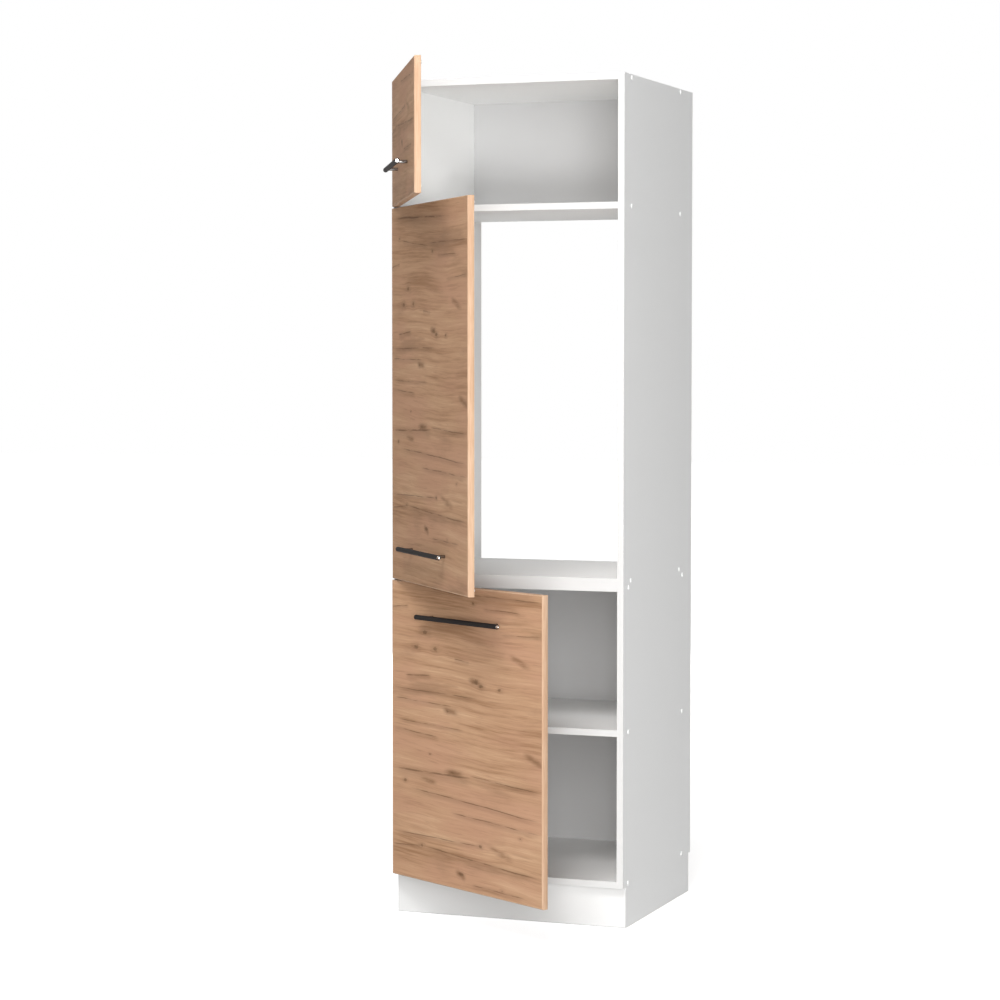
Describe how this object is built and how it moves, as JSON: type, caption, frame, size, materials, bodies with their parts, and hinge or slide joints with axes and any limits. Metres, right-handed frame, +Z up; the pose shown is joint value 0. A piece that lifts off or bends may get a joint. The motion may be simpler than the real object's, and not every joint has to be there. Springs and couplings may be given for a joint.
{
  "type": "fridge housing cabinet",
  "caption": "Tall kitchen cabinet on a plinth: open niche for a built-in fridge, a compartment over it and a shelved cupboard below, behind hinged wood-decor doors with bar handles.",
  "frame": {"origin": "on the floor at mid width, under the middle of the plinth board", "axes": "+X to the right seen from the front, +Y to the rear, +Z up; the doors face -Y"},
  "size_m": [0.6044, 1.0878, 2.068],
  "materials": {
    "white_board": "white melamine-faced chipboard, matt",
    "white_edge": "white edge band",
    "white_cap": "white plastic",
    "back_board": "white-faced fibreboard",
    "oak_decor": "matt oak decor, grain across the door",
    "pale_edge": "pale peach edge band",
    "dowel_wood": "bare beech",
    "hinge_steel": "nickel-plated",
    "zinc_steel": "zinc-plated",
    "dark_metal": "satin anthracite",
    "chrome": "polished chrome",
    "clear_rubber": "soft clear bumper"
  },
  "bodies": {
    "carcass": {"upper_side_left": "white_board", "upper_side_right": "white_board", "upper_top_panel": "white_board", "niche_top_shelf": "white_board", "niche_floor_panel": "white_board", "upper_back_panel": "back_board", "lower_side_left": "white_board", "lower_side_right": "white_board", "lower_top_panel": "white_board", "lower_shelf": "white_board", "lower_bottom_panel": "white_board", "lower_back_panel": "back_board", "plinth_board": "white_board", "upper_edge_bands": "white_edge", "lower_edge_bands": "white_edge", "carcass_screws": "zinc_steel", "screw_caps": "white_cap", "carcass_dowels": "dowel_wood", "box_joining_screws": "zinc_steel", "back_panel_nails": "zinc_steel", "plinth_brackets": "zinc_steel", "plinth_bracket_screws": "zinc_steel", "wall_brackets": "zinc_steel", "wall_bracket_screws": "zinc_steel", "hinge_plates": "hinge_steel", "hinge_plate_screws": "hinge_steel", "hinge_arms": "hinge_steel", "hinge_arm_screws": "hinge_steel"},
    "top_door": {"top_door_panel": "oak_decor", "top_door_edging": "pale_edge", "top_door_hinge_cups": "hinge_steel", "top_door_hinge_pins": "hinge_steel", "top_door_cup_screws": "hinge_steel", "top_door_handle_bar": "dark_metal", "top_door_handle_posts": "chrome", "top_door_handle_discs": "chrome", "top_door_handle_bolts": "zinc_steel", "top_door_bumpers": "clear_rubber"},
    "fridge_door": {"fridge_door_panel": "oak_decor", "fridge_door_edging": "pale_edge", "fridge_door_hinge_cups": "hinge_steel", "fridge_door_hinge_pins": "hinge_steel", "fridge_door_cup_screws": "hinge_steel", "fridge_door_handle_bar": "dark_metal", "fridge_door_handle_posts": "chrome", "fridge_door_handle_discs": "chrome", "fridge_door_handle_bolts": "zinc_steel", "fridge_door_bumpers": "clear_rubber"},
    "lower_door": {"lower_door_panel": "oak_decor", "lower_door_edging": "pale_edge", "lower_door_hinge_cups": "hinge_steel", "lower_door_hinge_pins": "hinge_steel", "lower_door_cup_screws": "hinge_steel", "lower_door_handle_bar": "dark_metal", "lower_door_handle_posts": "chrome", "lower_door_handle_discs": "chrome", "lower_door_handle_bolts": "zinc_steel", "lower_door_bumpers": "clear_rubber"}
  },
  "joints": [
    {"name": "top_door_hinge", "type": "hinge", "parent": "carcass", "child": "top_door", "pos_m": [-0.291, -0.04, 1.912], "axis": [0, 0, -1], "range_deg": [-62, 38]},
    {"name": "fridge_door_hinge", "type": "hinge", "parent": "carcass", "child": "fridge_door", "pos_m": [-0.291, -0.04, 1.297], "axis": [0, 0, -1], "range_deg": [-50, 50]},
    {"name": "lower_door_hinge", "type": "hinge", "parent": "carcass", "child": "lower_door", "pos_m": [-0.291, -0.04, 0.469], "axis": [0, 0, -1], "range_deg": [-31, 69]}
  ]
}
